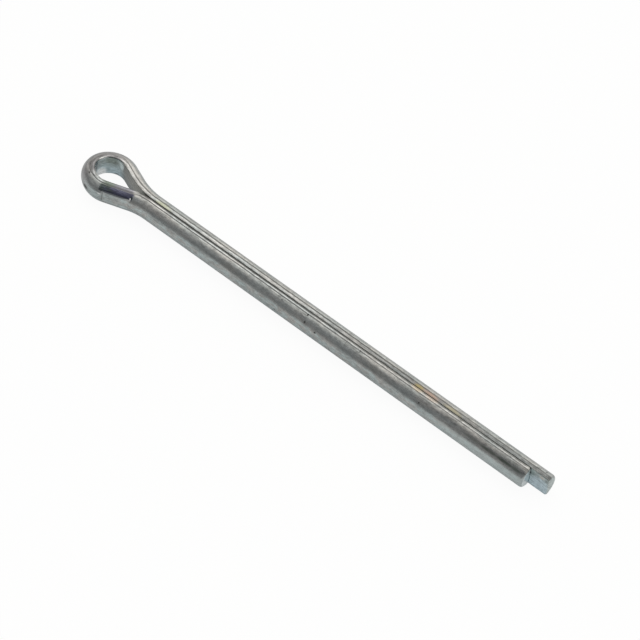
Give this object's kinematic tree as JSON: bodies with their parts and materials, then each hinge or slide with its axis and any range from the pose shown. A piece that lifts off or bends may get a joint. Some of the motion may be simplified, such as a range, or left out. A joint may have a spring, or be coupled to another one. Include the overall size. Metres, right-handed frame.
{
  "type": "cotter pin",
  "caption": "Split pin of half-round wire folded into a drop-shaped eye and two closed legs; it goes through a cross hole and its tips are bent apart to lock it.",
  "frame": {"origin": "on the axis of the round shank, at the eye end of its straight part, one shank radius above the surface that the pin lies on", "axes": "+X along the shank towards the tips, +Y towards the side of the long leg, +Z square to the plane that the wire is bent in, up as the pin lies flat"},
  "size_m": [0.094, 0.0092, 0.0044],
  "materials": {
    "zinc_plated_steel": "pale zinc plate on steel wire, semi-gloss, with fine draw lines along the wire and a few dark pits"
  },
  "bodies": {
    "root": {"cotter_pin": "zinc_plated_steel"}
  },
  "joints": []
}
